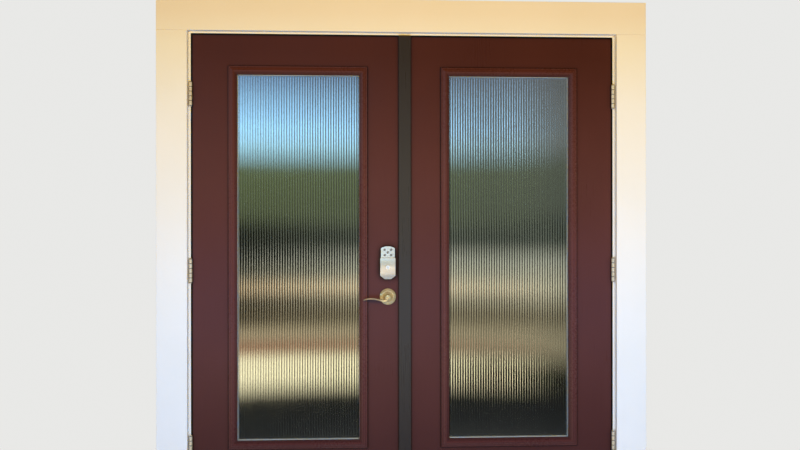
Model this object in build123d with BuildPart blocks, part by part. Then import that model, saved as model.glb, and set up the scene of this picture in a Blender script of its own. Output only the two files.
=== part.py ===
from build123d import *
import os
from math import asin, cos, sin, sqrt

# A pair of outswing glazed doors in their frame. X runs along the wall, Y into the building and Z up.
# The origin is on the underside of the sill, midway between the leaves, in the plane of their outer faces.

os.makedirs("parts", exist_ok=True)

# fits
seat_gap = 0.3
slide_fit = 0.1
pin_fit = 0.05

# the two leaves
leaf_width = 914.4
leaf_height = 2032.0
leaf_thickness = 44.45
meeting_gap = 4.0
hinge_gap = 3.0
head_gap = 3.0
leaf_foot = 32.0

# jambs
jamb_depth = 116.0
jamb_board = 19.05
stop_rise = 12.7
strip_space = 6.0
kerf_width = 3.0
kerf_depth = 8.0
strip_margin = 1.5

# casing boards
casing_thickness = 22.0
side_casing_width = 130.0
head_casing_height = 139.7
side_reveal = 10.0
head_reveal = 6.6
casing_round = 1.5

# sill and threshold
sill_base_height = 20.0
nose_reach = 30.0
nose_lip = 4.0
nose_drop = 12.0
tread_height = 26.0
inner_tread_height = 28.0
rib_overlap = 12.0
rib_width = 12.0
rib_slope = 5.0

# glazing
glass_stile = 193.7
glass_top_rail = 173.0
glass_bottom_rail = 276.0
lite_frame_width = 37.0
glass_cover = 16.0
cutout_gap = 3.0
outer_pane_thickness = 5.0
inner_pane_thickness = 4.0
air_space = 16.0
reed_pitch = 11.3
reed_depth = 1.1
spacer_sight = 1.0
spacer_edge = 1.0

# raised moulding of the lite frames, as distances in from its edge and out from the leaf
edge_rise = 4.5
edge_round = 3.0
band_inset = 8.0
band_rise = 8.5
crown_inset = 21.0
crown_rise = 10.5
bevel_inset = 33.5
bevel_rise = 2.5
lite_leg = 2.2

# hinges
hinge_height = 101.6
hinge_plate_width = 38.0
hinge_plate_thickness = 2.3
hinge_plate_round = 12.7
barrel_radius = 6.2
pin_radius = 3.0
pin_standoff = 6.5
knuckle_count = 5
knuckle_gap = 0.3
tip_height = 4.2
hinge_top_drop = 260.0
hinge_foot_rise = 252.0
screw_radius = 2.1
screw_head_radius = 4.2
screw_head_depth = 2.0
screw_length = 18.0
screw_rows = (-36.0, -12.0, 12.0, 36.0)
screw_near = 14.0
screw_far = 27.0

# astragal bar over the meeting gap
astragal_width = 52.5
astragal_lap = 26.5
astragal_thickness = 6.0
astragal_standoff = 2.5
astragal_bevel = 1.2
stem_thickness = 1.6
stem_depth = 9.0
seal_width = 7.0
seal_inset = 1.5

# lock set
backset = 69.85
lever_drop = 1135.0
deadbolt_rise = 128.0
cross_bore_radius = 27.0
edge_bore_radius = 12.7
faceplate_width = 25.4
faceplate_height = 57.15
faceplate_thickness = 2.4
faceplate_round = 6.0
case_length = 58.0
latch_width = 12.0
latch_height = 16.0
latch_throw = 12.7
latch_tail = 34.0
deadbolt_width = 13.0
deadbolt_height = 19.0
deadbolt_throw = 25.4
deadbolt_tail = 28.0
strike_slack = 1.5
strike_width = 28.6
latch_strike_height = 69.85
deadbolt_strike_height = 57.15
pocket_slack = 4.0

# lever sets
rose_radius = 35.5
rose_rim = 2.0
rose_crown_radius = 25.0
rose_crown_height = 8.0
rose_throat_height = 4.5
hub_radius = 11.5
neck_radius = 9.0
lever_standoff = 42.0
lever_depth = 14.0
lever_round = 2.0
hub_crown = 1.0
spindle_side = 7.6
spindle_engagement = 16.0
# the lever's wave, as distances towards the hinges and up from its spindle
lever_top_edge = ((4.0, -2.0), (16.0, -9.0), (42.0, -4.6), (68.0, -0.6), (103.0, -7.2))
lever_low_edge = ((103.0, -12.6), (68.0, -8.4), (42.0, -12.4), (16.0, -18.6), (-2.0, -9.0))
lever_tip = 105.5

# keypad lock
keypad_lower_width = 67.0
keypad_upper_width = 60.0
keypad_shoulder = 83.0
keypad_crown = 91.0
keypad_step = 42.0
keypad_hip = 36.0
keypad_foot = 51.0
keypad_foot_width = 28.0
keypad_corner = 5.0
keypad_lower_depth = 24.0
keypad_upper_depth = 18.0
keypad_round = 2.0
keypad_wall = 3.0
collar_radius = 13.0
collar_rise = 2.0
plug_radius = 8.0
plug_length = 20.0
keyway_width = 1.8
keyway_height = 9.0
keyway_depth = 12.0
button_radius = 5.2
button_rise = 2.2
button_round = 0.8
button_flange = 1.3
button_places = ((-14.0, 76.0), (14.0, 76.0), (0.0, 64.5), (-14.0, 53.0), (14.0, 53.0))

# inside lock cover
cover_width = 72.0
cover_height = 150.0
cover_depth = 30.0
cover_corner = 12.0
cover_round = 5.0
cover_wall = 3.0
cover_drop = 48.0
turn_length = 42.0
turn_width = 11.0
turn_depth = 15.0
turn_round = 3.0
turn_base_radius = 12.0
turn_base_depth = 5.0
turn_shaft_radius = 6.0
tailpiece_width = 6.0
tailpiece_thickness = 2.4

# flush bolts in the edge of the inactive leaf
flush_plate_width = 19.0
flush_plate_height = 150.0
flush_plate_thickness = 2.5
flush_edge_gap = 30.0
flush_throw = 19.0
flush_rod_radius = 4.75
flush_rod_inset = 12.0
flush_slot_width = 9.0
flush_knob_height = 16.0
flush_strike_size = 24.0
flush_strike_thickness = 2.0
flush_strike_clearance = 1.0
sill_bolt_depth = 18.0

# bottom sweeps
sweep_base = 2.0
sweep_fin = 2.0
sweep_inset = 4.0

left = -1
right = 1

leaf_meeting = meeting_gap / 2
leaf_edge = leaf_meeting + leaf_width
leaf_centre = leaf_meeting + leaf_width / 2
leaf_top = leaf_foot + leaf_height
leaf_middle = leaf_thickness / 2
jamb_face = leaf_edge + hinge_gap
stop_face = jamb_face - stop_rise
stop_front = leaf_thickness + strip_space
head_face = leaf_top + head_gap
head_back = head_face + jamb_board
casing_edge = jamb_face + side_reveal
casing_foot_of_head = head_face + head_reveal

glass_width = leaf_width - 2 * glass_stile
glass_height = leaf_height - glass_top_rail - glass_bottom_rail
cutout_width = glass_width + 2 * (glass_cover + cutout_gap)
cutout_height = glass_height + 2 * (glass_cover + cutout_gap)
pane_width = glass_width + 2 * glass_cover
pane_height = glass_height + 2 * glass_cover
lite_width = glass_width + 2 * lite_frame_width
lite_height = glass_height + 2 * lite_frame_width
glass_middle = leaf_top - glass_top_rail - glass_height / 2
unit_thickness = outer_pane_thickness + air_space + inner_pane_thickness
glass_face = leaf_middle - unit_thickness / 2

pin_line = (leaf_edge + jamb_face) / 2
top_hinge = leaf_top - hinge_top_drop
foot_hinge = leaf_foot + hinge_foot_rise
hinge_heights = [top_hinge, (top_hinge + foot_hinge) / 2, foot_hinge]
knuckle_height = hinge_height / knuckle_count

lock_line = -(leaf_meeting + backset)
lever_height = leaf_top - lever_drop
deadbolt_line = lever_height + deadbolt_rise
left_edge = -leaf_meeting
flush_rod_line = leaf_meeting + flush_rod_inset


def save(piece, name):
    """Labels a finished piece and writes it as its own file."""
    piece.part.label = name
    export_step(piece.part, f"parts/{name}.step")


# Frame

# A side jamb is one board, rabbeted for the leaf, with a kerf for the weatherstrip and three
# hinge mortises in its rabbet.


def screw_planes(side, face, outward):
    """The seats of all hinge screws of one plate column, on its face and looking outward."""
    return [
        Plane(
            origin=(side * face, screw_near if row % 2 else screw_far, height + drop),
            z_dir=(side * outward, 0, 0),
        )
        for height in hinge_heights
        for row, drop in enumerate(screw_rows)
    ]


def hinge_seats(side, face, depth):
    """Cuts the mortises of three hinge plates, depth deep, into the part being built."""
    for height in hinge_heights:
        with BuildSketch(Plane.YZ.offset(side * face)) as seat:
            with Locations((hinge_plate_width / 2, height)):
                Rectangle(hinge_plate_width + 2 * seat_gap, hinge_height + 2 * seat_gap)
            fillet(seat.vertices().group_by(Axis.X)[-1], hinge_plate_round)
        extrude(seat.sketch, amount=side * depth, mode=Mode.SUBTRACT)


def side_jamb(side):
    kerf_line = stop_face + stop_rise / 2
    with BuildPart() as jamb:
        with BuildSketch(Plane.XY):
            with Locations((side * (jamb_face + jamb_board / 2), jamb_depth / 2)):
                Rectangle(jamb_board, jamb_depth)
        extrude(amount=head_back)
        with BuildSketch(Plane.XY.offset(inner_tread_height)):
            with Locations((side * (stop_face + stop_rise / 2), (stop_front + jamb_depth) / 2)):
                Rectangle(stop_rise, jamb_depth - stop_front)
        extrude(amount=head_face - inner_tread_height)
        with BuildSketch(Plane.XY.offset(inner_tread_height)):
            with Locations((side * kerf_line, stop_front + kerf_depth / 2)):
                Rectangle(kerf_width, kerf_depth)
        extrude(amount=head_face - inner_tread_height, mode=Mode.SUBTRACT)
        hinge_seats(side, jamb_face, hinge_plate_thickness)
        with Locations(*screw_planes(side, jamb_face + hinge_plate_thickness, -1)):
            Hole(radius=screw_radius + seat_gap, depth=screw_length)
    return jamb


left_jamb = side_jamb(left)
save(left_jamb, "left_jamb")
right_jamb = side_jamb(right)
save(right_jamb, "right_jamb")

# The head jamb lies between the side jambs, with the same rabbet and kerf, and a bore for the
# upper flush bolt under its strike.
with BuildPart() as head_jamb:
    with BuildSketch(Plane.XZ):
        with Locations((0, head_face + jamb_board / 2)):
            Rectangle(2 * jamb_face, jamb_board)
    extrude(amount=-jamb_depth)
    with BuildSketch(Plane.XZ.offset(-stop_front)):
        with Locations((0, head_face - stop_rise / 2)):
            Rectangle(2 * stop_face, stop_rise)
    extrude(amount=stop_front - jamb_depth)
    with BuildSketch(Plane.XZ.offset(-stop_front)):
        with Locations((0, head_face - stop_rise / 2)):
            Rectangle(2 * stop_face, kerf_width)
    extrude(amount=-kerf_depth, mode=Mode.SUBTRACT)
    with BuildSketch(Plane.XY.offset(head_face)):
        with Locations((flush_rod_line, leaf_middle)):
            Rectangle(flush_strike_size, flush_strike_size)
    extrude(amount=flush_strike_thickness, mode=Mode.SUBTRACT)
    with BuildSketch(Plane.XY.offset(head_face)):
        with Locations((flush_rod_line, leaf_middle)):
            Circle(flush_rod_radius + flush_strike_clearance)
    extrude(amount=jamb_board, mode=Mode.SUBTRACT)
save(head_jamb, "head_jamb")

# The casing boards are butted: the head board lies on the two side boards.


def casing_board(x_low, x_high, z_low, z_high):
    with BuildPart() as board:
        with BuildSketch(Plane.XZ):
            with Locations(((x_low + x_high) / 2, (z_low + z_high) / 2)):
                Rectangle(x_high - x_low, z_high - z_low)
        extrude(amount=casing_thickness)
        fillet(board.faces().sort_by(Axis.Y)[0].edges(), casing_round)
    return board


casing_back = casing_edge + side_casing_width
left_casing = casing_board(-casing_back, -casing_edge, 0, casing_foot_of_head)
save(left_casing, "left_casing")
right_casing = casing_board(casing_edge, casing_back, 0, casing_foot_of_head)
save(right_casing, "right_casing")
head_casing = casing_board(
    -casing_back, casing_back, casing_foot_of_head, casing_foot_of_head + head_casing_height
)
save(head_casing, "head_casing")

# The sill base fills the foot of the frame between the side jambs.
with BuildPart() as sill_base:
    with BuildSketch(Plane.XY):
        with Locations((0, (jamb_depth - nose_reach + nose_lip) / 2)):
            Rectangle(2 * jamb_face, jamb_depth + nose_reach - nose_lip)
    extrude(amount=sill_base_height)
    with BuildSketch(Plane.XY.offset(sill_base_height)):
        with Locations((flush_rod_line, leaf_middle)):
            Circle(flush_rod_radius + flush_strike_clearance)
    extrude(amount=-sill_bolt_depth, mode=Mode.SUBTRACT)
save(sill_base, "sill_base")

# The threshold is one extrusion: a nose that turns down over the sill base, a level tread under the
# leaves, a rib behind them and an inner tread. Only the rib is cut to fit between the jamb stops.
rib_top = leaf_foot + rib_overlap
with BuildPart() as threshold:
    with BuildSketch(Plane.YZ.offset(-jamb_face)):
        with BuildLine():
            Polyline(
                (-nose_reach, sill_base_height - nose_drop),
                (-nose_reach, sill_base_height - nose_lip / 2),
                (-nose_reach + nose_lip, sill_base_height + nose_lip / 2),
                (0, tread_height),
                (stop_front, tread_height),
                (stop_front, inner_tread_height),
                (jamb_depth, inner_tread_height),
                (jamb_depth, sill_base_height),
                (-nose_reach + nose_lip, sill_base_height),
                (-nose_reach + nose_lip, sill_base_height - nose_drop),
                close=True,
            )
        make_face()
    extrude(amount=2 * jamb_face)
    with BuildSketch(Plane.YZ.offset(-stop_face)):
        with BuildLine():
            Polyline(
                (stop_front, inner_tread_height),
                (stop_front, rib_top),
                (stop_front + rib_width, rib_top),
                (stop_front + rib_width + rib_slope, inner_tread_height),
                close=True,
            )
        make_face()
    extrude(amount=2 * stop_face)
    fillet(threshold.edges().group_by(Axis.Z)[-1].filter_by(Axis.X), rib_slope / 2)
    with BuildSketch(Plane.XY.offset(tread_height)):
        with Locations((flush_rod_line, leaf_middle)):
            Rectangle(flush_strike_size, flush_strike_size)
    extrude(amount=-flush_strike_thickness, mode=Mode.SUBTRACT)
    with BuildSketch(Plane.XY.offset(tread_height)):
        with Locations((flush_rod_line, leaf_middle)):
            Circle(flush_rod_radius + flush_strike_clearance)
    extrude(amount=sill_base_height - tread_height, mode=Mode.SUBTRACT)
save(threshold, "threshold")

# Two square strikes, let in flush at the head and in the threshold, guide the flush bolts.
with BuildPart() as flush_bolt_strikes:
    with BuildSketch(
        Plane.XY.offset(head_face), Plane.XY.offset(tread_height - flush_strike_thickness)
    ):
        with Locations((flush_rod_line, leaf_middle)):
            Rectangle(flush_strike_size, flush_strike_size)
            Circle(flush_rod_radius + flush_strike_clearance, mode=Mode.SUBTRACT)
    extrude(amount=flush_strike_thickness)
save(flush_bolt_strikes, "flush_bolt_strikes")

# Weatherstrips: a bulb between leaf and stop, with a barb that sits in the kerf.
bulb_depth = strip_space - seat_gap
bulb_width = stop_rise - 2 * strip_margin
barb_length = kerf_depth - seat_gap


def strip_section():
    """Draws the strip's section: local X runs from the stop's corner to the jamb, local Y to the room."""
    with Locations((stop_rise / 2, -bulb_depth / 2)):
        RectangleRounded(bulb_width, bulb_depth, bulb_depth / 2 - seat_gap)
    with Locations((stop_rise / 2, (barb_length - bulb_depth / 2) / 2)):
        Rectangle(kerf_width - 2 * seat_gap, barb_length + bulb_depth / 2)


def side_strip(side):
    with BuildPart() as strip:
        section_plane = Plane(
            origin=(side * stop_face, stop_front, inner_tread_height),
            x_dir=(side, 0, 0),
            z_dir=(0, 0, side),
        )
        with BuildSketch(section_plane):
            strip_section()
        extrude(amount=side * (head_face - inner_tread_height))
    return strip


left_weatherstrip = side_strip(left)
save(left_weatherstrip, "left_weatherstrip")
right_weatherstrip = side_strip(right)
save(right_weatherstrip, "right_weatherstrip")

with BuildPart() as head_weatherstrip:
    head_section_plane = Plane(
        origin=(stop_face, stop_front, head_face - stop_rise), x_dir=(0, 0, 1), z_dir=(-1, 0, 0)
    )
    with BuildSketch(head_section_plane):
        strip_section()
    extrude(amount=2 * stop_face)
save(head_weatherstrip, "head_weatherstrip")

# Hinges: five knuckles, three on the jamb's plate and two on the leaf's, round one pin.


def hinge_plates(side, face, outward, knuckles):
    """The three plates on one face with their knuckles. outward is 1 where the plate faces the jamb."""
    far_face = face - outward * hinge_plate_thickness
    plate_middle = (face + far_face) / 2
    with BuildPart() as plates:
        for height in hinge_heights:
            with BuildSketch(Plane.YZ.offset(side * plate_middle)) as outline:
                with Locations(((hinge_plate_width - pin_standoff) / 2, height)):
                    Rectangle(hinge_plate_width + pin_standoff, hinge_height)
                fillet(outline.vertices().group_by(Axis.X)[-1], hinge_plate_round)
            extrude(amount=hinge_plate_thickness / 2, both=True)
            for knuckle in range(knuckle_count):
                middle = height + (knuckle - (knuckle_count - 1) / 2) * knuckle_height
                with Locations((side * pin_line, -pin_standoff, middle)):
                    if knuckle in knuckles:
                        Cylinder(barrel_radius, knuckle_height - knuckle_gap)
                    else:
                        Cylinder(
                            barrel_radius + seat_gap,
                            knuckle_height + knuckle_gap,
                            mode=Mode.SUBTRACT,
                        )
            with Locations((side * pin_line, -pin_standoff, height)):
                Cylinder(pin_radius + pin_fit, 2 * hinge_height, mode=Mode.SUBTRACT)
        with Locations(*screw_planes(side, face, outward)):
            CounterSinkHole(
                radius=screw_radius + seat_gap,
                counter_sink_radius=screw_head_radius + seat_gap,
                depth=hinge_plate_thickness,
                counter_sink_angle=90,
            )
    return plates


def hinge_screws(*columns):
    """Countersunk screws, flush in the plates of the given (side, face, outward) columns."""
    with BuildPart() as screws:
        for side, face, outward in columns:
            with Locations(*screw_planes(side, face, outward)):
                Cone(
                    screw_radius,
                    screw_head_radius,
                    screw_head_depth,
                    align=(Align.CENTER, Align.CENTER, Align.MAX),
                )
                Cylinder(
                    screw_radius, screw_length, align=(Align.CENTER, Align.CENTER, Align.MAX)
                )
    return screws


jamb_knuckles = (0, 2, 4)
leaf_knuckles = (1, 3)
left_hinge_jamb_plates = hinge_plates(left, jamb_face, -1, jamb_knuckles)
save(left_hinge_jamb_plates, "left_hinge_jamb_plates")
right_hinge_jamb_plates = hinge_plates(right, jamb_face, -1, jamb_knuckles)
save(right_hinge_jamb_plates, "right_hinge_jamb_plates")
left_hinge_leaf_plates = hinge_plates(left, leaf_edge, 1, leaf_knuckles)
save(left_hinge_leaf_plates, "left_hinge_leaf_plates")
right_hinge_leaf_plates = hinge_plates(right, leaf_edge, 1, leaf_knuckles)
save(right_hinge_leaf_plates, "right_hinge_leaf_plates")

jamb_hinge_screws = hinge_screws((left, jamb_face, -1), (right, jamb_face, -1))
save(jamb_hinge_screws, "jamb_hinge_screws")
left_leaf_hinge_screws = hinge_screws((left, leaf_edge, 1))
save(left_leaf_hinge_screws, "left_leaf_hinge_screws")
right_leaf_hinge_screws = hinge_screws((right, leaf_edge, 1))
save(right_leaf_hinge_screws, "right_leaf_hinge_screws")

# Each pin is turned, with a domed button tip above and below the barrel.
tip_rim = tip_height / 4
dome_rise = tip_height - tip_rim
dome_radius = (barrel_radius**2 + dome_rise**2) / (2 * dome_rise)
dome_half_turn = asin(barrel_radius / dome_radius) / 2
with BuildPart() as hinge_pins:
    for side in (left, right):
        for height in hinge_heights:
            seat = hinge_height / 2
            dome_mid = (
                dome_radius * sin(dome_half_turn),
                seat + tip_height - dome_radius * (1 - cos(dome_half_turn)),
            )
            pin_plane = Plane(
                origin=(side * pin_line, -pin_standoff, height), x_dir=(1, 0, 0), z_dir=(0, -1, 0)
            )
            with BuildSketch(pin_plane):
                with BuildLine():
                    Line((0, -seat - tip_height), (0, seat + tip_height))
                    ThreePointArc((0, seat + tip_height), dome_mid, (barrel_radius, seat + tip_rim))
                    Polyline(
                        (barrel_radius, seat + tip_rim),
                        (barrel_radius, seat),
                        (pin_radius, seat),
                        (pin_radius, -seat),
                        (barrel_radius, -seat),
                        (barrel_radius, -seat - tip_rim),
                    )
                    ThreePointArc(
                        (barrel_radius, -seat - tip_rim),
                        (dome_mid[0], -dome_mid[1]),
                        (0, -seat - tip_height),
                    )
                make_face()
            revolve(axis=Axis((side * pin_line, -pin_standoff, 0), (0, 0, 1)))
save(hinge_pins, "hinge_pins")

# Leaves


def edge_recess(face, height, width, length, corner=0):
    """A rectangle on a leaf's meeting edge, at the middle of its thickness."""
    with BuildSketch(Plane.YZ.offset(face)) as recess:
        with Locations((leaf_middle, height)):
            Rectangle(width, length)
        if corner:
            fillet(recess.vertices(), corner)
    return recess.sketch


def blank_leaf(side):
    """The slab with its lite opening, hinge mortises and pilot holes."""
    with BuildPart() as slab:
        with BuildSketch(Plane.XZ):
            with Locations((side * leaf_centre, leaf_foot + leaf_height / 2)):
                Rectangle(leaf_width, leaf_height)
            with Locations((side * leaf_centre, glass_middle)):
                Rectangle(cutout_width, cutout_height, mode=Mode.SUBTRACT)
        extrude(amount=-leaf_thickness)
        hinge_seats(side, leaf_edge, -hinge_plate_thickness)
        with Locations(*screw_planes(side, leaf_edge - hinge_plate_thickness, 1)):
            Hole(radius=screw_radius + seat_gap, depth=screw_length)
    return slab.part


flush_pocket_width = flush_slot_width + 2 * seat_gap
flush_pocket_height = flush_knob_height + flush_throw + pocket_slack
flush_pocket_depth = flush_rod_inset + flush_rod_radius + seat_gap

# The active leaf is bored for the latch and the deadbolt, from its faces and from its meeting edge.
with BuildPart() as left_slab:
    add(blank_leaf(left))
    for height in (lever_height, deadbolt_line):
        with BuildSketch(Plane.XZ):
            with Locations((lock_line, height)):
                Circle(cross_bore_radius)
        extrude(amount=-leaf_thickness, mode=Mode.SUBTRACT)
        faceplate_seat = edge_recess(
            left_edge, height, faceplate_width, faceplate_height, faceplate_round
        )
        extrude(faceplate_seat, amount=-faceplate_thickness, mode=Mode.SUBTRACT)
        with BuildSketch(Plane.YZ.offset(left_edge)):
            with Locations((leaf_middle, height)):
                Circle(edge_bore_radius)
        extrude(amount=-backset, mode=Mode.SUBTRACT)
save(left_slab, "left_slab")

# The inactive leaf takes the two strikes and the flush bolts in its meeting edge.
latch_opening = (latch_width + 2 * strike_slack, latch_height + 2 * strike_slack)
deadbolt_opening = (deadbolt_width + 2 * strike_slack, deadbolt_height + 2 * strike_slack)
strikes = (
    (lever_height, latch_strike_height, latch_opening, latch_throw),
    (deadbolt_line, deadbolt_strike_height, deadbolt_opening, deadbolt_throw),
)
flush_ends = ((leaf_top, -1), (leaf_foot, 1))
flush_plate_offset = flush_edge_gap + flush_plate_height / 2

with BuildPart() as right_slab:
    add(blank_leaf(right))
    for height, plate_height, opening, throw in strikes:
        strike_seat = edge_recess(
            leaf_meeting, height, strike_width, plate_height, faceplate_round
        )
        extrude(strike_seat, amount=faceplate_thickness, mode=Mode.SUBTRACT)
        bolt_pocket = edge_recess(leaf_meeting, height, *opening)
        extrude(bolt_pocket, amount=throw - meeting_gap + pocket_slack, mode=Mode.SUBTRACT)
    for end, inward in flush_ends:
        plate_middle = end + inward * flush_plate_offset
        plate_seat = edge_recess(
            leaf_meeting, plate_middle, flush_plate_width, flush_plate_height
        )
        extrude(plate_seat, amount=flush_plate_thickness, mode=Mode.SUBTRACT)
        knob_pocket = edge_recess(
            leaf_meeting, plate_middle, flush_pocket_width, flush_pocket_height
        )
        extrude(knob_pocket, amount=flush_pocket_depth, mode=Mode.SUBTRACT)
        with BuildSketch(Plane.XY.offset(end)):
            with Locations((flush_rod_line, leaf_middle)):
                Circle(flush_rod_radius + seat_gap)
        extrude(amount=inward * flush_plate_offset, mode=Mode.SUBTRACT)
save(right_slab, "right_slab")


def strike(height, plate_height, opening):
    with BuildPart() as plate:
        plate_outline = edge_recess(
            leaf_meeting,
            height,
            strike_width - 2 * slide_fit,
            plate_height - 2 * slide_fit,
            faceplate_round,
        )
        extrude(plate_outline, amount=faceplate_thickness)
        extrude(
            edge_recess(leaf_meeting, height, *opening),
            amount=faceplate_thickness,
            mode=Mode.SUBTRACT,
        )
    return plate


latch_strike = strike(lever_height, latch_strike_height, latch_opening)
save(latch_strike, "latch_strike")
deadbolt_strike = strike(deadbolt_line, deadbolt_strike_height, deadbolt_opening)
save(deadbolt_strike, "deadbolt_strike")

# A lite frame is one moulding mitred round the glass: a raised band with an outer step and an inner
# bevel, a lip that holds the glass and a leg that meets the other frame's leg inside the leaf.


def lite_frame(side, facing):
    """facing is 1 for the frame outside and -1 for the one inside."""
    surface = leaf_middle - facing * leaf_middle

    def at(inset, rise):
        """A point of the moulding, inset from its outer edge and rising out of the leaf's face."""
        return (surface - facing * rise, glass_middle - lite_height / 2 + inset)

    # how far the middle of a quarter circle lies from the corner that it rounds
    shoulder = edge_round * (1 - sqrt(0.5))
    glass_stop = seat_gap - glass_face if facing == 1 else seat_gap - inner_glass_face
    leg_outer = lite_frame_width - glass_cover - cutout_gap + seat_gap
    centre = side * leaf_centre
    half_width = lite_width / 2
    half_height = lite_height / 2
    with BuildPart() as frame:
        with BuildLine() as outer_edge:
            Polyline(
                (centre, surface, glass_middle - half_height),
                (centre + half_width, surface, glass_middle - half_height),
                (centre + half_width, surface, glass_middle + half_height),
                (centre - half_width, surface, glass_middle + half_height),
                (centre - half_width, surface, glass_middle - half_height),
                close=True,
            )
        with BuildSketch(Plane.YZ.offset(centre)):
            with BuildLine():
                Line(at(0, 0), at(0, edge_rise - edge_round / 2))
                ThreePointArc(
                    at(0, edge_rise - edge_round / 2),
                    at(shoulder, edge_rise + edge_round / 2 - shoulder),
                    at(edge_round, edge_rise + edge_round / 2),
                )
                Polyline(
                    at(edge_round, edge_rise + edge_round / 2),
                    at(band_inset - edge_round / 2, edge_rise + edge_round / 2),
                    at(band_inset, band_rise),
                    at(crown_inset, crown_rise),
                    at(bevel_inset, bevel_rise),
                    at(lite_frame_width, bevel_rise - edge_round / 2),
                    at(lite_frame_width, glass_stop),
                    at(leg_outer + lite_leg, glass_stop),
                    at(leg_outer + lite_leg, -leaf_middle),
                    at(leg_outer, -leaf_middle),
                    at(leg_outer, 0),
                    at(0, 0),
                )
            make_face()
        sweep(path=outer_edge.wires()[0], transition=Transition.RIGHT)
    return frame


inner_glass_face = leaf_thickness - glass_face - unit_thickness
for side, hand in ((left, "left"), (right, "right")):
    outer_frame = lite_frame(side, 1)
    save(outer_frame, f"{hand}_outer_lite_frame")
    inner_frame = lite_frame(side, -1)
    save(inner_frame, f"{hand}_inner_lite_frame")

# Glass. The outer pane is rolled with upright convex reeds, and both panes are sealed to a hollow
# spacer whose inner edge shows past the lite frame.
reed_count = int(pane_width // reed_pitch)
glass_foot = glass_middle - pane_height / 2


def reeded_pane(side):
    first = side * leaf_centre - reed_count * reed_pitch / 2
    valley = glass_face + reed_depth
    back = glass_face + outer_pane_thickness
    edges = (side * leaf_centre - pane_width / 2, side * leaf_centre + pane_width / 2)
    with BuildPart() as pane:
        with BuildSketch(Plane.XY.offset(glass_foot)):
            with BuildLine():
                for reed in range(reed_count):
                    start = first + reed * reed_pitch
                    ThreePointArc(
                        (start, valley),
                        (start + reed_pitch / 2, glass_face),
                        (start + reed_pitch, valley),
                    )
                Polyline(
                    (first + reed_count * reed_pitch, valley),
                    (edges[1], valley),
                    (edges[1], back),
                    (edges[0], back),
                    (edges[0], valley),
                    (first, valley),
                )
            make_face()
        extrude(amount=pane_height)
    return pane


def inner_pane(side):
    with BuildPart() as pane:
        with BuildSketch(Plane.XZ.offset(inner_pane_thickness - glass_face - unit_thickness)):
            with Locations((side * leaf_centre, glass_middle)):
                Rectangle(pane_width, pane_height)
        extrude(amount=-inner_pane_thickness)
    return pane


def glass_spacer(side):
    with BuildPart() as spacer:
        with BuildSketch(Plane.XZ.offset(-glass_face - outer_pane_thickness)):
            with Locations((side * leaf_centre, glass_middle)):
                Rectangle(pane_width - 2 * spacer_edge, pane_height - 2 * spacer_edge)
                Rectangle(
                    glass_width - 2 * spacer_sight,
                    glass_height - 2 * spacer_sight,
                    mode=Mode.SUBTRACT,
                )
        extrude(amount=-air_space)
    return spacer


# Sweep: a strip under the leaf with two soft fins that stop just short of the tread.


def bottom_sweep(side):
    middle = side * leaf_centre
    with BuildPart() as sweep:
        with BuildSketch(Plane.XY.offset(leaf_foot)):
            with Locations((middle, leaf_middle)):
                Rectangle(leaf_width - 2 * sweep_inset, leaf_thickness - 2 * sweep_inset)
        extrude(amount=-sweep_base)
        fin_offset = leaf_thickness / 2 - sweep_inset - sweep_fin / 2
        with BuildSketch(Plane.XY.offset(leaf_foot - sweep_base)):
            with Locations((middle, leaf_middle - fin_offset), (middle, leaf_middle + fin_offset)):
                Rectangle(leaf_width - 2 * sweep_inset, sweep_fin)
        extrude(amount=tread_height + seat_gap - leaf_foot + sweep_base)
        if side == right:
            with BuildSketch(Plane.XY.offset(leaf_foot)):
                with Locations((flush_rod_line, leaf_middle)):
                    Circle(flush_rod_radius + seat_gap)
            extrude(amount=-sweep_base, mode=Mode.SUBTRACT)
    return sweep


for side, hand in ((left, "left"), (right, "right")):
    outer_glass = reeded_pane(side)
    save(outer_glass, f"{hand}_reeded_pane")
    inner_glass = inner_pane(side)
    save(inner_glass, f"{hand}_inner_pane")
    spacer_frame = glass_spacer(side)
    save(spacer_frame, f"{hand}_glass_spacer")
    sweep_strip = bottom_sweep(side)
    save(sweep_strip, f"{hand}_bottom_sweep")

# Astragal: one extrusion fixed to the active leaf. Its face laps the inactive leaf outside, with a
# soft seal behind the lap, and its stem stands in the meeting gap.
bar_right = leaf_meeting + astragal_lap
bar_left = bar_right - astragal_width
bar_back = -astragal_standoff
bar_front = bar_back - astragal_thickness
with BuildPart() as astragal:
    with BuildSketch(Plane.XY.offset(leaf_foot)):
        with BuildLine():
            Polyline(
                (bar_left, 0),
                (bar_left, bar_front + astragal_bevel),
                (bar_left + astragal_bevel, bar_front),
                (bar_right - astragal_bevel, bar_front),
                (bar_right, bar_front + astragal_bevel),
                (bar_right, bar_back),
                (left_edge + stem_thickness, bar_back),
                (left_edge + stem_thickness, stem_depth),
                (left_edge, stem_depth),
                (left_edge, 0),
                close=True,
            )
        make_face()
    extrude(amount=leaf_height)
save(astragal, "astragal")

with BuildPart() as astragal_seal:
    with BuildSketch(Plane.XY.offset(leaf_foot)):
        with Locations((bar_right - seal_inset - seal_width / 2, (bar_back - seat_gap) / 2)):
            Rectangle(seal_width, astragal_standoff - seat_gap)
    extrude(amount=leaf_height)
save(astragal_seal, "astragal_seal")

# Latch and deadbolt: each case is a faceplate with a tube in the edge bore, broached for its bolt.


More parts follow.
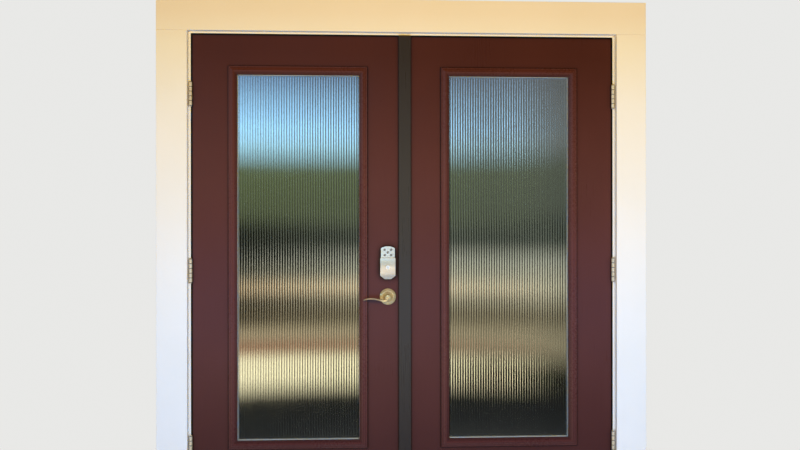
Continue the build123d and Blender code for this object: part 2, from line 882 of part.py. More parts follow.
def bolt_case(height, bolt_width, bolt_height):
    with BuildPart() as case:
        faceplate = edge_recess(
            left_edge,
            height,
            faceplate_width - 2 * slide_fit,
            faceplate_height - 2 * slide_fit,
            faceplate_round,
        )
        extrude(faceplate, amount=-faceplate_thickness)
        with BuildSketch(Plane.YZ.offset(left_edge)):
            with Locations((leaf_middle, height)):
                Circle(edge_bore_radius - seat_gap)
        extrude(amount=-case_length)
        channel = edge_recess(
            left_edge, height, bolt_width + 2 * slide_fit, bolt_height + 2 * slide_fit
        )
        extrude(channel, amount=-case_length, mode=Mode.SUBTRACT)
    return case


latch_case = bolt_case(lever_height, latch_width, latch_height)
save(latch_case, "latch_case")
deadbolt_case = bolt_case(deadbolt_line, deadbolt_width, deadbolt_height)
save(deadbolt_case, "deadbolt_case")

# The latch stands out by its throw, bevelled on the side that meets the strike as the leaf closes.
with BuildPart() as latch_bolt:
    with BuildSketch(Plane.XY.offset(lever_height - latch_height / 2)):
        with BuildLine():
            Polyline(
                (left_edge - latch_tail, leaf_middle - latch_width / 2),
                (left_edge + latch_throw, leaf_middle - latch_width / 2),
                (left_edge + latch_throw, leaf_middle - latch_width / 4),
                (left_edge + pin_fit, leaf_middle + latch_width / 2),
                (left_edge - latch_tail, leaf_middle + latch_width / 2),
                close=True,
            )
        make_face()
    extrude(amount=latch_height)
save(latch_bolt, "latch_bolt")

# The deadbolt is drawn back at rest, with its end flush in the faceplate.
with BuildPart() as deadbolt:
    bolt_section = edge_recess(left_edge, deadbolt_line, deadbolt_width, deadbolt_height)
    extrude(bolt_section, amount=-deadbolt_tail - deadbolt_throw)
    chamfer(deadbolt.faces().sort_by(Axis.X)[-1].edges(), seat_gap)
save(deadbolt, "deadbolt")

# Lever sets: a dished rose and a wave lever on each face, on one square spindle.
lever_plane = Plane(origin=(lock_line, 0, lever_height), x_dir=(1, 0, 0), z_dir=(0, 0, -1))
lever_axis = Axis((lock_line, 0, lever_height), (0, -1, 0))
throat_radius = neck_radius + seat_gap

with BuildPart() as outer_rose:
    with BuildSketch(lever_plane):
        with BuildLine():
            Polyline((rose_radius, rose_rim), (rose_radius, 0), (throat_radius, 0))
            Line((throat_radius, 0), (throat_radius, rose_throat_height))
            Spline(
                (throat_radius, rose_throat_height),
                (rose_crown_radius, rose_crown_height),
                (rose_radius, rose_rim),
                tangents=((1, 0), (1, -1)),
            )
        make_face()
    revolve(axis=lever_axis)
save(outer_rose, "outer_rose")

lever_face = lever_standoff + lever_depth
# the hub's end is a shallow dome, part of a sphere centred on the axis
dome_radius = (hub_radius**2 + hub_crown**2) / (2 * hub_crown)
dome_centre = lever_face + hub_crown - dome_radius
dome_halfway = (hub_radius / 2, dome_centre + sqrt(dome_radius**2 - hub_radius**2 / 4))
with BuildPart() as plain_lever:
    arm_plane = Plane(
        origin=(lock_line, -lever_standoff, lever_height), x_dir=(-1, 0, 0), z_dir=(0, 1, 0)
    )
    with BuildSketch(arm_plane):
        with BuildLine():
            Spline(*lever_top_edge)
            ThreePointArc(
                lever_top_edge[-1],
                (lever_tip, (lever_top_edge[-1][1] + lever_low_edge[0][1]) / 2),
                lever_low_edge[0],
            )
            Spline(*lever_low_edge)
            Line(lever_low_edge[-1], lever_top_edge[0])
        make_face()
    extrude(amount=-lever_depth)
    arm_rims = plain_lever.edges().group_by(Axis.Y)
    fillet((arm_rims[0] + arm_rims[-1]).filter_by(GeomType.LINE, reverse=True), lever_round)
    with BuildSketch(lever_plane):
        with BuildLine():
            Polyline(
                (0, lever_face + hub_crown),
                (0, seat_gap),
                (neck_radius, seat_gap),
                (neck_radius, lever_standoff - hub_radius),
                (hub_radius, lever_standoff),
                (hub_radius, lever_face),
            )
            ThreePointArc((hub_radius, lever_face), dome_halfway, (0, lever_face + hub_crown))
        make_face()
    revolve(axis=lever_axis)

inside = Plane(origin=(0, leaf_middle, 0), z_dir=(0, 1, 0))
spindle_end = leaf_thickness + spindle_engagement
with BuildPart() as outer_lever:
    add(plain_lever.part)
    with BuildSketch(Plane.XZ.offset(lever_standoff)):
        with Locations((lock_line, lever_height)):
            Rectangle(spindle_side, spindle_side)
    extrude(amount=-lever_standoff - spindle_end)
save(outer_lever, "outer_lever")

with BuildPart() as inner_lever:
    add(plain_lever.part.mirror(inside))
    with BuildSketch(Plane.XZ.offset(-leaf_thickness)):
        with Locations((lock_line, lever_height)):
            Rectangle(spindle_side + 2 * slide_fit, spindle_side + 2 * slide_fit)
    extrude(amount=-spindle_engagement - slide_fit, mode=Mode.SUBTRACT)
save(inner_lever, "inner_lever")

with BuildPart() as inner_rose:
    add(outer_rose.part.mirror(inside))
save(inner_rose, "inner_rose")

# Keypad lock: a cast shell in two steps, narrow and arched above and wide and pointed below, with a
# collar for the key plug and round holes for five buttons.


keypad_plane = Plane(origin=(lock_line, 0, deadbolt_line), x_dir=(1, 0, 0), z_dir=(0, -1, 0))


def upper_outline(inset=0):
    """The arched upper part, drawn in by inset all round."""
    half_width = keypad_upper_width / 2 - inset
    shoulder = keypad_shoulder - inset
    with BuildSketch(keypad_plane) as outline:
        with BuildLine():
            Polyline(
                (-half_width, shoulder), (-half_width, 0), (half_width, 0), (half_width, shoulder)
            )
            ThreePointArc(
                (half_width, shoulder), (0, keypad_crown - inset), (-half_width, shoulder)
            )
        make_face()
        fillet(outline.vertices().group_by(Axis.Y)[-1], keypad_corner - inset)
    return outline.sketch


def lower_outline(inset=0):
    """The lower part with its pointed foot, drawn in by inset all round."""
    half_width = keypad_lower_width / 2 - inset
    half_foot = keypad_foot_width / 2
    with BuildSketch(keypad_plane) as outline:
        with BuildLine():
            Polyline(
                (-half_width, keypad_step - inset),
                (-half_width, -keypad_hip + inset / 2),
                (-half_foot, -keypad_foot + inset),
                (half_foot, -keypad_foot + inset),
                (half_width, -keypad_hip + inset / 2),
                (half_width, keypad_step - inset),
                close=True,
            )
        make_face()
        fillet(outline.vertices(), keypad_corner - inset)
    return outline.sketch


with BuildPart() as keypad_housing:
    extrude(upper_outline(), amount=keypad_upper_depth)
    extrude(lower_outline(), amount=keypad_lower_depth)
    faces_outward = keypad_housing.faces().filter_by(Axis.Y).sort_by(Axis.Y)
    fillet(faces_outward[0].edges(), keypad_round)
    extrude(
        upper_outline(keypad_wall),
        amount=keypad_upper_depth - keypad_wall,
        mode=Mode.SUBTRACT,
    )
    extrude(
        lower_outline(keypad_wall),
        amount=keypad_lower_depth - keypad_wall,
        mode=Mode.SUBTRACT,
    )
    with BuildSketch(Plane.XZ.offset(keypad_lower_depth + collar_rise)):
        with Locations((lock_line, deadbolt_line)):
            Circle(collar_radius)
    extrude(amount=-plug_length - collar_rise)
    with BuildSketch(Plane.XZ.offset(keypad_lower_depth + collar_rise)):
        with Locations((lock_line, deadbolt_line)):
            Circle(plug_radius + pin_fit)
    extrude(amount=-plug_length - collar_rise, mode=Mode.SUBTRACT)
    with BuildSketch(Plane.XZ.offset(keypad_upper_depth)):
        with Locations((lock_line, deadbolt_line)):
            with Locations(*button_places):
                Circle(button_radius + slide_fit)
    extrude(amount=-keypad_wall, mode=Mode.SUBTRACT)
save(keypad_housing, "keypad_housing")

# Each button is a stepped disc, held from behind by its flange.
for number, (across, up) in enumerate(button_places, start=1):
    with BuildPart() as button:
        with BuildSketch(Plane.XZ.offset(keypad_upper_depth + button_rise)):
            with Locations((lock_line + across, deadbolt_line + up)):
                Circle(button_radius)
        extrude(amount=-button_rise - keypad_wall)
        fillet(button.faces().sort_by(Axis.Y)[0].edges(), button_round)
        with BuildSketch(Plane.XZ.offset(keypad_upper_depth - keypad_wall)):
            with Locations((lock_line + across, deadbolt_line + up)):
                Circle(button_radius + button_flange / 2)
        extrude(amount=-button_flange)
    save(button, f"keypad_button_{number}")

# The key plug turns in the collar, with its keyway open to the front.
plug_face = keypad_lower_depth + collar_rise
with BuildPart() as key_plug:
    with BuildSketch(Plane.XZ.offset(plug_face)):
        with Locations((lock_line, deadbolt_line)):
            Circle(plug_radius)
    extrude(amount=-plug_length)
    with BuildSketch(Plane.XZ.offset(plug_face)):
        with Locations((lock_line, deadbolt_line)):
            Rectangle(keyway_width, keyway_height)
    extrude(amount=-keyway_depth, mode=Mode.SUBTRACT)
save(key_plug, "key_plug")

# Inside, a moulded cover carries the thumbturn, whose shaft runs through to the deadbolt as a flat.
cover_middle = deadbolt_line + cover_height / 2 - cover_drop
with BuildPart() as inner_lock_cover:
    with BuildSketch(Plane.XZ.offset(-leaf_thickness)):
        with Locations((lock_line, cover_middle)):
            RectangleRounded(cover_width, cover_height, cover_corner)
    extrude(amount=-cover_depth)
    fillet(inner_lock_cover.faces().sort_by(Axis.Y)[-1].edges(), cover_round)
    with BuildSketch(Plane.XZ.offset(-leaf_thickness)):
        with Locations((lock_line, cover_middle)):
            RectangleRounded(
                cover_width - 2 * cover_wall,
                cover_height - 2 * cover_wall,
                cover_corner - cover_wall,
            )
        with Locations((lock_line, deadbolt_line)):
            Circle(turn_base_radius, mode=Mode.SUBTRACT)
    extrude(amount=cover_wall - cover_depth, mode=Mode.SUBTRACT)
    with BuildSketch(Plane.XZ.offset(-leaf_thickness)):
        with Locations((lock_line, deadbolt_line)):
            Circle(turn_shaft_radius + pin_fit)
    extrude(amount=-cover_depth, mode=Mode.SUBTRACT)
save(inner_lock_cover, "inner_lock_cover")

turn_seat = leaf_thickness + cover_depth
with BuildPart() as thumbturn:
    with BuildSketch(Plane.XZ.offset(-turn_seat)):
        with Locations((lock_line, deadbolt_line)):
            SlotOverall(turn_length, turn_width, rotation=90)
    extrude(amount=-turn_base_depth - turn_depth)
    fillet(thumbturn.faces().sort_by(Axis.Y)[-1].edges(), turn_round)
    with BuildSketch(Plane.XZ.offset(-turn_seat)):
        with Locations((lock_line, deadbolt_line)):
            Circle(turn_base_radius)
    extrude(amount=-turn_base_depth)
    with BuildSketch(Plane.XZ.offset(-turn_seat)):
        with Locations((lock_line, deadbolt_line)):
            Circle(turn_shaft_radius)
    extrude(amount=cover_depth)
    with BuildSketch(Plane.XZ.offset(-turn_seat)):
        with Locations((lock_line, deadbolt_line)):
            Rectangle(tailpiece_thickness, tailpiece_width)
    extrude(amount=turn_seat)
save(thumbturn, "thumbturn")

# Flush bolts: a slotted plate in the leaf's edge, and a rod whose knob slides in the slot.
for (end, inward), place in zip(flush_ends, ("top", "bottom")):
    plate_middle = end + inward * flush_plate_offset
    knob_middle = plate_middle + inward * flush_throw / 2
    with BuildPart() as flush_plate:
        plate_face = edge_recess(
            leaf_meeting,
            plate_middle,
            flush_plate_width - 2 * slide_fit,
            flush_plate_height - 2 * slide_fit,
        )
        extrude(plate_face, amount=flush_plate_thickness)
        slot = edge_recess(
            leaf_meeting,
            plate_middle,
            flush_slot_width,
            flush_knob_height + flush_throw + 2 * seat_gap,
        )
        extrude(slot, amount=flush_plate_thickness, mode=Mode.SUBTRACT)
    save(flush_plate, f"{place}_flush_bolt_plate")
    with BuildPart() as flush_rod:
        with BuildSketch(Plane.XY.offset(end)):
            with Locations((flush_rod_line, leaf_middle)):
                Circle(flush_rod_radius)
        extrude(amount=knob_middle - end)
        outward_axis = Axis((0, 0, 0), (0, 0, -inward))
        chamfer(flush_rod.faces().sort_by(outward_axis)[-1].edges(), flush_rod_radius / 4)
        knob_face = edge_recess(
            leaf_meeting, knob_middle, flush_slot_width - 2 * seat_gap, flush_knob_height
        )
        extrude(knob_face, amount=flush_rod_inset)
        with BuildSketch(Plane.YZ.offset(leaf_meeting)):
            with Locations((leaf_middle, knob_middle)):
                Rectangle(flush_slot_width - 2 * seat_gap, flush_knob_height / 2)
        extrude(amount=flush_plate_thickness / 2, mode=Mode.SUBTRACT)
    save(flush_rod, f"{place}_flush_bolt_rod")
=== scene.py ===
"""A pair of outswing french doors in their painted frame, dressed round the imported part.

Lengths are metres: X runs along the wall, Y into the building and Z up from the sill's underside.
Each section is one piece or one group of like pieces, in the order in which the unit goes together.
"""

import math

import bmesh
import bpy
import numpy as np
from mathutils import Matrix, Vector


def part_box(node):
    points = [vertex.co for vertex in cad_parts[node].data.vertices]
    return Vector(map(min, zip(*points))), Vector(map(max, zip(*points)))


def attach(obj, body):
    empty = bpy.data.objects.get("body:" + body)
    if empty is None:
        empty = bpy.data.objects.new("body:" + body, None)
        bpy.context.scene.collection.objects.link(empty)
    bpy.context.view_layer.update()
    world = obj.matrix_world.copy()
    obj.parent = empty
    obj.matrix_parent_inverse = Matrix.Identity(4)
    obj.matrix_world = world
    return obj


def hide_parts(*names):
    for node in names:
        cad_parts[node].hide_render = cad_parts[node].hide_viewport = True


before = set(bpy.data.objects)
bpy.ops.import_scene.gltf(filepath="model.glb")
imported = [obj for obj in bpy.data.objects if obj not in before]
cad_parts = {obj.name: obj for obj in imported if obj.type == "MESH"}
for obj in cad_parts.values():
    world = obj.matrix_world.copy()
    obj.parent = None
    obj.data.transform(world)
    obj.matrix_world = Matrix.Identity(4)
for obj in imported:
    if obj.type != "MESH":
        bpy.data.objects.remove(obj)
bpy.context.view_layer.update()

# Jambs. Two side jambs and a head jamb of finger-jointed pine, each rabbeted from one board, nailed
# through to the opening and painted cream, so a faint grain along the board shows under the paint.


class Shade:
    """A value or colour that varies over a surface. It wraps an output socket, and + - * / add the
    Math node that works the expression out."""

    def __init__(self, finish, socket):
        self.finish = finish
        self.socket = socket

    def maths(self, operation, first, second):
        return self.finish.node(
            "ShaderNodeMath", {0: first, 1: second}, {"operation": operation}
        )

    def __add__(self, other):
        return self.maths("ADD", self, other)

    def __radd__(self, other):
        return self.maths("ADD", other, self)

    def __sub__(self, other):
        return self.maths("SUBTRACT", self, other)

    def __rsub__(self, other):
        return self.maths("SUBTRACT", other, self)

    def __mul__(self, other):
        return self.maths("MULTIPLY", self, other)

    def __rmul__(self, other):
        return self.maths("MULTIPLY", other, self)

    def __truediv__(self, other):
        return self.maths("DIVIDE", self, other)


class Finish:
    """The nodes of one material or world. node() adds a node of a type with its settings and the
    values or links of its inputs, and hands back one of its outputs."""

    def __init__(self, owner):
        owner.use_nodes = True
        owner.node_tree.nodes.clear()
        self.owner = owner
        self.tree = owner.node_tree

    def node(self, kind, inputs=None, settings=None, output=0):
        added = self.tree.nodes.new(kind)
        for key, value in (settings or {}).items():
            if key == "stops":
                ramp = added.color_ramp
                ramp.elements.remove(ramp.elements[1])
                ramp.elements[0].position = value[0][0]
                ramp.elements[0].color = value[0][1]
                for position, colour in value[1:]:
                    ramp.elements.new(position).color = colour
            else:
                setattr(added, key, value)
        for key, value in (inputs or {}).items():
            if isinstance(value, Shade):
                self.tree.links.new(value.socket, added.inputs[key])
            else:
                added.inputs[key].default_value = value
        return Shade(self, added.outputs[output]) if added.outputs else None


def light(red, green, blue):
    """The light that a screen colour of 0 to 255 stands for: each channel's share of 255, to the
    power 2.2."""
    return tuple((channel / 255) ** 2.2 for channel in (red, green, blue)) + (1.0,)


def place(finish, stretch=(1, 1, 1)):
    """The point of the surface in metres, with each axis multiplied, so that a small factor draws a
    pattern out along that axis."""
    point = finish.node("ShaderNodeTexCoord", output=3)
    return finish.node("ShaderNodeMapping", {"Vector": point, "Scale": stretch})


def clouds(finish, point, scale, detail=3.0, roughness=0.5):
    """Soft random values from 0 to 1, with so many humps to the metre."""
    return finish.node(
        "ShaderNodeTexNoise",
        {"Vector": point, "Scale": scale, "Detail": detail, "Roughness": roughness},
    )


def between(finish, share, first, second):
    """The colour that is this share of the way from the first to the second."""
    return finish.node(
        "ShaderNodeMix", {0: share, 6: first, 7: second}, {"data_type": "RGBA"}, output=2
    )


def spread(finish, value, low, high, start=0.0, end=1.0):
    """Moves a value's range low to high evenly onto start to end, and cuts off what lies outside."""
    return finish.node(
        "ShaderNodeMapRange",
        {"Value": value, "From Min": low, "From Max": high, "To Min": start, "To Max": end},
    )


def bumped(finish, height, depth):
    """The surface's direction once it rises and falls by height times depth metres."""
    return finish.node("ShaderNodeBump", {"Height": height, "Distance": depth})


def finished(finish, inputs):
    """Joins a principled surface with these inputs to the material's output."""
    surface = finish.node("ShaderNodeBsdfPrincipled", inputs)
    finish.node("ShaderNodeOutputMaterial", {"Surface": surface})
    return finish.owner


def soiled(finish, clean, reach, deepest, crowd=(0.2, 0.6)):
    """A colour with painted brown shade in its joints: where other surfaces crowd in within reach, it
    falls to deepest times itself as the open share of the sky goes down through crowd."""
    openness = finish.node(
        "ShaderNodeAmbientOcclusion", {"Distance": reach}, {"samples": 6}, output=1
    )
    brown = [deepest * channel for channel in (1.0, 0.78, 0.56)]
    shaded = finish.node("ShaderNodeVectorMath", {0: clean, 1: brown}, {"operation": "MULTIPLY"})
    return between(finish, spread(finish, openness, *crowd), shaded, clean)


def painted(
    name,
    pale,
    deep,
    stretch,
    roughness=0.42,
    grain=0.00015,
    gloss=0.3,
    crevice_shade=0.1,
    reach=0.012,
    crowd=(0.2, 0.6),
    marked=None,
):
    """Brushed paint over grain: two near tones drift into each other, fine lines run along the board,
    and the film has a slight orange-peel. Painted shade darkens the colour where other surfaces crowd
    in, and a function given as marked lays more over the colour."""
    finish = Finish(bpy.data.materials.new(name))
    point = place(finish)
    drift = clouds(finish, point, 2.3, detail=4)
    lines = clouds(finish, place(finish, stretch), 260, detail=3, roughness=0.6)
    peel = clouds(finish, point, 420, detail=1)
    tone = spread(finish, drift * 0.7 + lines * 0.3, 0.35, 0.65)
    colour = between(finish, tone, deep, pale)
    if marked:
        colour = marked(finish, point, colour)
    return finished(
        finish,
        {
            "Base Color": soiled(finish, colour, reach, crevice_shade, crowd),
            "Roughness": spread(finish, drift + lines, 0.7, 1.3, roughness - 0.05, roughness + 0.06),
            "Specular IOR Level": gloss,
            "Normal": bumped(finish, lines * 0.7 + peel * 0.3, grain),
        },
    )


def dress(material, *nodes):
    """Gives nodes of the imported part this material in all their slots."""
    for node in nodes:
        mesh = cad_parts[node].data
        if not mesh.materials:
            mesh.materials.append(None)
        for index in range(len(mesh.materials)):
            mesh.materials[index] = material


def aged(*stops):
    """Painted light and shade: a mark that multiplies paint by a cast which changes with the height in
    metres: stops pair a share of the way from the sill to 2.2 m with the cast's colour there."""

    def cast(finish, point, colour):
        up = finish.node("ShaderNodeSeparateXYZ", {0: point}, output=2)
        coloured = [(position, light(*shade)) for position, shade in stops]
        tint = finish.node(
            "ShaderNodeValToRGB", {0: spread(finish, up, 0.0, painted_light_top)}, {"stops": coloured}
        )
        return finish.node("ShaderNodeVectorMath", {0: colour, 1: tint}, {"operation": "MULTIPLY"})

    return cast


painted_light_top = 2.2
# Painted warm light: the jambs and casing turn warmer towards the head.
painted_warm_head_light = aged((0.80, (255, 255, 255)), (0.92, (255, 250, 238)), (0.98, (252, 240, 224)))
upright = (1, 1, 0.02)
level = (0.02, 1, 1)
jamb_pale = light(254, 251, 245)
jamb_deep = light(249, 245, 238)
# Painted shade darkens the jambs' rabbets round the shut leaves, and painted warm light tints the head.
jamb_painted_light = {"crevice_shade": 0.15, "crowd": (0.1, 0.55), "marked": painted_warm_head_light}
dress(painted("jamb_paint", jamb_pale, jamb_deep, upright, **jamb_painted_light), "left_jamb", "right_jamb")
dress(painted("head_jamb_paint", jamb_pale, jamb_deep, level, **jamb_painted_light), "head_jamb")

# Sill. A treated softwood base carries an extruded aluminium threshold, whose raised rib the leaves'
# sweeps brush when they shut. The wood shows at the ends only, and the metal's tread is brushed.


def timber(name, pale, deep, stretch, roughness=0.6):
    """Bare or oiled wood: wavy rings drawn out along the board, crossed by fine pores."""
    finish = Finish(bpy.data.materials.new(name))
    drawn = place(finish, stretch)
    wander = clouds(finish, drawn, 6, detail=4)
    rings = finish.node(
        "ShaderNodeTexWave",
        {"Vector": drawn, "Scale": 22, "Distortion": 3.5, "Detail": 3, "Detail Scale": 1.5},
        {"bands_direction": "Z"},
        output=1,
    )
    pores = clouds(finish, drawn, 340, detail=2)
    tone = spread(finish, rings * 0.6 + wander * 0.4, 0.2, 0.8)
    return finished(
        finish,
        {
            "Base Color": between(finish, tone, deep, pale),
            "Roughness": spread(finish, pores, 0.3, 0.7, roughness - 0.1, roughness + 0.1),
            "Normal": bumped(finish, pores * 0.6 + rings * 0.4, 0.0003),
        },
    )


def metal(
    name,
    pale,
    deep,
    stretch,
    roughness,
    scratches=0.00004,
    patches=9.0,
    shine=1.0,
    relief=None,
    reach=0.004,
    crowd=(0.2, 0.6),
    marked=None,
):
    """Bare or plated metal: fine lines one way from brushing or polishing, and soft patches where
    handling has dulled it. Painted shade darkens the colour where other surfaces crowd in. A function
    given as relief curves the face, and one given as marked lays more over the colour."""
    finish = Finish(bpy.data.materials.new(name))
    lines = clouds(finish, place(finish, stretch), 900, detail=2, roughness=0.6)
    height = lines * scratches
    if relief:
        height = height + relief(finish, place(finish))
    film = clouds(finish, place(finish), patches, detail=5, roughness=0.6)
    colour = between(finish, spread(finish, film, 0.35, 0.7), pale, deep)
    if marked:
        colour = marked(finish, place(finish), colour)
    return finished(
        finish,
        {
            "Base Color": soiled(finish, colour, reach, 0.2, crowd),
            "Metallic": shine,
            "Roughness": spread(finish, film * 0.7 + lines * 0.3, 0.3, 0.7, roughness, roughness + 0.12),
            "Normal": bumped(finish, height, 1.0),
        },
    )


dress(timber("sill_wood", light(168, 134, 98), light(122, 90, 60), (0.05, 1, 1)), "sill_base")
dress(
    metal("threshold_metal", light(190, 190, 188), light(150, 150, 150), (0.01, 1, 1), 0.36),
    "threshold",
)

# Weatherstrips. Foam-filled bulbs with a vinyl skin are pressed into the jambs' kerfs, where the shut
# leaves squeeze them. The skin is dark, matt and slightly pimpled.


def rubber(name, pale, deep, roughness=0.62):
    """Matt vinyl or rubber: dull dust on the high spots of a pimpled skin."""
    finish = Finish(bpy.data.materials.new(name))
    point = place(finish)
    dust = clouds(finish, point, 14, detail=5, roughness=0.65)
    pimples = clouds(finish, point, 1600, detail=1)
    return finished(
        finish,
        {
            "Base Color": between(finish, spread(finish, dust, 0.4, 0.7), deep, pale),
            "Roughness": spread(finish, dust, 0.3, 0.7, roughness - 0.08, roughness + 0.1),
            "Normal": bumped(finish, pimples, 0.00012),
        },
    )


dress(
    rubber("strip_vinyl", light(62, 50, 42), light(40, 31, 26)),
    "left_weatherstrip",
    "right_weatherstrip",
    "head_weatherstrip",
)

# Casing. Flat boards stand on the wall round the jambs, two legs under a wider head, butt jointed.
# They are painted the cream of the jambs, with painted warm light towards the head and painted
# # shade in their joints.

dress(
    painted(
        "casing_paint",
        light(254, 250, 245),
        light(250, 246, 239),
        (1, 1, 1),
        0.5,
        0.0001,
        crevice_shade=0.6,
        marked=painted_warm_head_light,
    ),
    "left_casing",
    "right_casing",
    "head_casing",
)

# Leaves. Each slab is a smooth skinned door painted maroon, with a faint grain up the stiles, and the
# raised lite frames are moulded, screwed together through the slab and painted with it.

leaf_pale = light(93, 55, 51)
leaf_deep = light(86, 51, 48)
# Painted shade by height: the paint darkens and browns towards the head, and darkens and cools towards the
# sill.
painted_height_shade = aged(
    (0.12, (212, 206, 216)),
    (0.30, (255, 255, 255)),
    (0.64, (252, 248, 247)),
    (0.90, (212, 190, 162)),
)
# Painted shadow: the leaves darken in a ring round the roses, keypad, moulding and bar.
leaf_painted_shade = {"reach": 0.03, "crowd": (0.5, 0.9), "crevice_shade": 0.05}
shade_starts = 0.006
shade_full = 0.0045


def shadowed_edges(finish, point, colour):
    """Near black on the rounded top and hinge edges of both leaves, which mirror the shut gap."""
    low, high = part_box("left_slab")
    colour = painted_height_shade(finish, point, colour)
    across = finish.node("ShaderNodeSeparateXYZ", {0: point})
    across = finish.node("ShaderNodeMath", {0: across}, {"operation": "ABSOLUTE"})
    up = finish.node("ShaderNodeSeparateXYZ", {0: point}, output=2)
    edges = spread(finish, across, -low.x - shade_starts, -low.x - shade_full)
    edges = edges + spread(finish, up, high.z - shade_starts, high.z - shade_full)
    return between(finish, edges, colour, light(16, 8, 7))


dress(
    painted(
        "leaf_paint",
        leaf_pale,
        leaf_deep,
        upright,
        0.32,
        0.0001,
        0.3,
        marked=shadowed_edges,
        **leaf_painted_shade,
    ),
    "left_slab",
    "right_slab",
)
sight_cover = 0.016
moulding_width = 0.044
bead_gain = 1.7
painted_bead_tones = (
    (0.06, 0.50),
    (0.16, 0.52),
    (0.30, 0.82),
    (0.42, 0.60),
    (0.52, 0.80),
    (0.60, 0.52),
    (0.71, 0.90),
    (0.80, 0.25),
)


def beaded(finish, point, colour):
    """Painted shade and highlight of the moulding's quirks and beads, dark in the hollows and pale on
    the rounds. They follow the glass at set distances from its edge, which is the larger of the
    sideways and upright distance."""
    low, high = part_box("left_reeded_pane")
    middle = ((low.x + high.x) / 2, (low.z + high.z) / 2)
    half = [(high.x - low.x) / 2 - sight_cover, (high.z - low.z) / 2 - sight_cover]
    across = finish.node("ShaderNodeSeparateXYZ", {0: point})
    up = finish.node("ShaderNodeSeparateXYZ", {0: point}, output=2)
    across = finish.node("ShaderNodeMath", {0: across}, {"operation": "ABSOLUTE"})
    across = finish.node("ShaderNodeMath", {0: across + middle[0]}, {"operation": "ABSOLUTE"})
    up = finish.node("ShaderNodeMath", {0: up - middle[1]}, {"operation": "ABSOLUTE"})
    outside = {0: across - half[0], 1: up - half[1]}
    distance = finish.node("ShaderNodeMath", outside, {"operation": "MAXIMUM"})
    relief = finish.node(
        "ShaderNodeValToRGB",
        {0: spread(finish, distance, 0.0, moulding_width)},
        {"stops": [(share, (tone, tone, tone, 1)) for share, tone in painted_bead_tones]},
    )
    colour = finish.node("ShaderNodeVectorMath", {0: colour, 1: relief}, {"operation": "MULTIPLY"})
    colour = finish.node("ShaderNodeVectorMath", {0: colour, 3: bead_gain}, {"operation": "SCALE"})
    return painted_height_shade(finish, point, colour)


dress(
    painted("lite_paint", leaf_pale, leaf_deep, (1, 1, 1), 0.28, 0.00005, 0.4, marked=beaded),
    "left_outer_lite_frame",
    "left_inner_lite_frame",
    "right_outer_lite_frame",
    "right_inner_lite_frame",
)

# Glass. In each lite an outer pane rolled with upright reeds and a plain inner pane are sealed to an
# # aluminium spacer. The reeds are convex, and smear what they reflect into bands and fine stripes,
# # and a stronger mirror on their crests paints reflected stripes.


merge_distance = 1e-6
sliver_length = 1e-7
sharp_angle = 35


def joined(name, sheets, material, body):
    """Makes one piece from grids of points, each of rows by columns by xyz: every cell becomes a
    four-sided face, points that fall together are merged, and the faces are turned outwards."""
    points = np.concatenate([sheet.reshape(-1, 3) for sheet in sheets])
    faces = []
    first = 0
    for sheet in sheets:
        rows, columns = sheet.shape[:2]
        index = first + np.arange(rows * columns).reshape(rows, columns)
        corners = (index[:-1, :-1], index[:-1, 1:], index[1:, 1:], index[1:, :-1])
        faces.append(np.stack(corners, axis=-1).reshape(-1, 4))
        first += rows * columns
    faces = np.concatenate(faces)
    mesh = bpy.data.meshes.new(name)
    mesh.from_pydata(points.tolist(), [], faces.tolist())
    shape = bmesh.new()
    shape.from_mesh(mesh)
    bmesh.ops.remove_doubles(shape, verts=shape.verts, dist=merge_distance)
    bmesh.ops.dissolve_degenerate(shape, edges=shape.edges, dist=sliver_length)
    bmesh.ops.recalc_face_normals(shape, faces=shape.faces)
    shape.to_mesh(mesh)
    shape.free()
    mesh.shade_smooth()
    mesh.set_sharp_from_angle(angle=math.radians(sharp_angle))
    mesh.materials.append(material)
    piece = bpy.data.objects.new(name, mesh)
    bpy.context.scene.collection.objects.link(piece)
    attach(piece, body)
    return piece


reed_pitch = 0.0113
reed_depth = 0.0011
points_per_reed = 14
bare_edge = 0.022
film_feather = 0.001
crest_stripe_span = (0.2, 0.85)
flattening = 0.6


def glass(name, pane, mirror, stripe_mirror, ripple, reeds=0):
    """Low-emission glass: clear, with a metal-oxide film that makes it part mirror. The film is
    ground off round the pane's edge, where the spacer is stuck, and a stronger mirror on the crests
    of reeds paints bright reflected stripes. The face ripples slightly from rolling, and flatter reeds
    than the form's are mirrored: the bump gives back a share of what the form falls away from each crest."""
    low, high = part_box(pane)
    middle = [(first + last) / 2 for first, last in zip(low, high)]
    finish = Finish(bpy.data.materials.new(name))
    point = place(finish)
    offset = finish.node("ShaderNodeVectorMath", {0: point, 1: middle}, {"operation": "SUBTRACT"})
    distance = finish.node("ShaderNodeVectorMath", {0: offset}, {"operation": "ABSOLUTE"})
    sideways = finish.node("ShaderNodeSeparateXYZ", {0: offset}, output=0)
    reach = [(last - first) / 2 - bare_edge for first, last in zip(low, high)]
    filmed = 1.0
    for axis in (0, 2):
        share = finish.node("ShaderNodeSeparateXYZ", {0: distance}, output=axis)
        filmed = filmed * spread(finish, share, reach[axis], reach[axis] + film_feather, 1, 0)
    crest = finish.node(
        "ShaderNodeMath", {0: sideways * (2 / reed_pitch) + reeds, 1: 1.0}, {"operation": "PINGPONG"}
    )
    # Painted reflection: the glass mirrors more on each reed's crest, which draws bright stripes along the
    # reeds.
    film = spread(finish, crest, *crest_stripe_span, mirror, stripe_mirror)
    waves = clouds(finish, point, 14, detail=2)
    from_crest = 1.0 - crest
    given_back = from_crest * from_crest * (reed_depth * flattening if reeds else 0.0)
    return finished(
        finish,
        {
            "Base Color": between(finish, filmed, light(240, 244, 242), light(205, 214, 214)),
            "Metallic": filmed * (film + waves * 0.06),
            "Roughness": spread(finish, waves, 0.3, 0.7, 0.04, 0.05),
            "IOR": 1.52,
            "Transmission Weight": 1.0,
            "Normal": bumped(finish, waves * ripple + given_back, 1.0),
        },
    )


